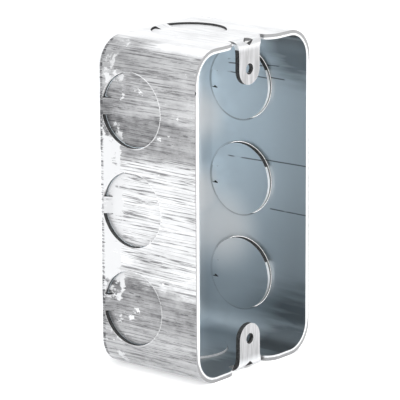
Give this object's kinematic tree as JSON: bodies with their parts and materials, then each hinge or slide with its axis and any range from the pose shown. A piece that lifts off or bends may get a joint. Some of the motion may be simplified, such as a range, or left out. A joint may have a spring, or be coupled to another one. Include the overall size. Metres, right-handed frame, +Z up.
{
  "type": "metal back box",
  "caption": "Drawn galvanised steel back box for a wiring accessory, open at the front, with knockouts and two screw ears.",
  "frame": {"origin": "middle of the underside, on the surface that the box stands on", "axes": "+Z up along the long side, open front towards -Y, +X along the short side"},
  "size_m": [0.054, 0.046, 0.1016],
  "materials": {
    "galvanised_steel": "hot-dip galvanised, bright, with drawing streaks along the depth and worn grey patches"
  },
  "bodies": {
    "root": {"back_box": "galvanised_steel"}
  },
  "joints": []
}
